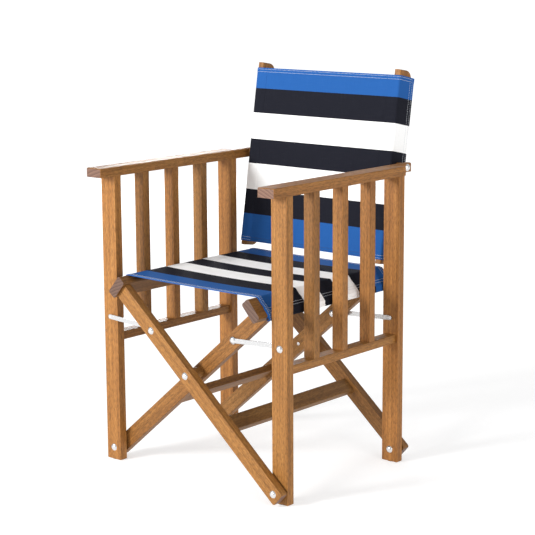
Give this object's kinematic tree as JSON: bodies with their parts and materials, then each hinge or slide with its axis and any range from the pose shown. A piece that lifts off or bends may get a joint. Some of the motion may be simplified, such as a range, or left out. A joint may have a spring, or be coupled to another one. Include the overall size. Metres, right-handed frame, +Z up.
{
  "type": "director chair",
  "caption": "Folding director chair: slatted wooden sides, crossed ladders with steel links, a striped seat sling and a striped back sling on pivoting posts.",
  "frame": {"origin": "on the floor, midway across the chair's width and midway between its foremost and rearmost points", "axes": "+Z up; the chair faces -Y; +X is the side of a standing viewer's right hand when looking along +Y"},
  "size_m": [0.58, 0.6066, 0.9426],
  "materials": {
    "wood": "oiled golden-brown hardwood, satin",
    "canvas": "woven canvas in blue, near-black and white stripes",
    "bolt_steel": "plain bright dome heads",
    "strip_steel": "bright flat strip",
    "black_plastic": "black nail-on glide"
  },
  "bodies": {
    "side_right": {"leg_front_right": "wood", "leg_rear_right": "wood", "side_rail_right": "wood", "slat_right_1": "wood", "slat_right_2": "wood", "slat_right_3": "wood", "armrest_right": "wood", "glide_front_right": "black_plastic", "glide_rear_right": "black_plastic", "foot_bolt_front_right": "bolt_steel", "foot_bolt_rear_right": "bolt_steel", "link_pin_front_right": "bolt_steel", "link_pin_rear_right": "bolt_steel", "back_bolt_right": "bolt_steel", "back_spacer_right": "wood"},
    "ladder_a": {"member_front_a": "wood", "member_rear_a": "wood", "stretcher_a": "wood", "seat_rail_left": "wood", "seat_rod_left": "wood", "link_bolt_front_a": "bolt_steel", "link_bolt_rear_a": "bolt_steel", "crossing_bolt_front": "bolt_steel", "crossing_bolt_rear": "bolt_steel", "crossing_spacer_front": "wood", "crossing_spacer_rear": "wood", "seat_sling": "canvas"},
    "ladder_b": {"member_front_b": "wood", "member_rear_b": "wood", "stretcher_b": "wood", "seat_rail_right": "wood", "seat_rod_right": "wood", "link_bolt_front_b": "bolt_steel", "link_bolt_rear_b": "bolt_steel"},
    "side_left": {"leg_front_left": "wood", "leg_rear_left": "wood", "side_rail_left": "wood", "slat_left_1": "wood", "slat_left_2": "wood", "slat_left_3": "wood", "armrest_left": "wood", "glide_front_left": "black_plastic", "glide_rear_left": "black_plastic", "foot_bolt_front_left": "bolt_steel", "foot_bolt_rear_left": "bolt_steel", "link_pin_front_left": "bolt_steel", "link_pin_rear_left": "bolt_steel", "back_bolt_left": "bolt_steel", "back_spacer_left": "wood"},
    "links_right": {"link_front_right": "strip_steel", "link_rear_right": "strip_steel", "link_cap_front_right": "bolt_steel"},
    "links_left": {"link_front_left": "strip_steel", "link_rear_left": "strip_steel"},
    "back_right": {"stile_right": "wood", "back_sling": "canvas"},
    "back_left": {"stile_left": "wood"}
  },
  "joints": [
    {"name": "fold", "type": "hinge", "parent": "side_right", "child": "ladder_a", "pos_m": [0.265, -0.04061, 0.03], "axis": [0, 1, 0], "range_deg": [0, 34.5]},
    {"name": "scissor", "type": "hinge", "parent": "ladder_a", "child": "ladder_b", "pos_m": [0, -0.04061, 0.258], "axis": [0, 1, 0], "range_deg": [-77.9, 0], "deforming": ["seat_sling"]},
    {"name": "left_foot", "type": "hinge", "parent": "ladder_b", "child": "side_left", "pos_m": [-0.265, -0.04061, 0.03], "axis": [0, 1, 0], "range_deg": [0, 34.6]},
    {"name": "link_right", "type": "hinge", "parent": "side_right", "child": "links_right", "pos_m": [0.265, -0.04061, 0.358], "axis": [0, 1, 0], "range_deg": [0, 66.9]},
    {"name": "link_left", "type": "hinge", "parent": "side_left", "child": "links_left", "pos_m": [-0.265, -0.04061, 0.358], "axis": [0, 1, 0], "range_deg": [-66.9, 0]},
    {"name": "back_right_turn", "type": "hinge", "parent": "side_right", "child": "back_right", "pos_m": [0.2145, 0.23139, 0.7107], "axis": [-1, 0, 0], "range_deg": [0, 169.6], "deforming": ["back_sling"]},
    {"name": "back_left_turn", "type": "hinge", "parent": "side_left", "child": "back_left", "pos_m": [-0.2145, 0.23139, 0.7107], "axis": [-1, 0, 0], "range_deg": [0, 169.6]}
  ],
  "couplings": [
    {"joint": "scissor", "follows": "fold", "ratio": -2.25},
    {"joint": "left_foot", "follows": "fold", "ratio": 1},
    {"joint": "link_right", "follows": "fold", "ratio": 1.9318},
    {"joint": "link_left", "follows": "fold", "ratio": -1.9318},
    {"joint": "back_right_turn", "follows": "fold", "ratio": 4.9},
    {"joint": "back_left_turn", "follows": "fold", "ratio": 4.9}
  ]
}
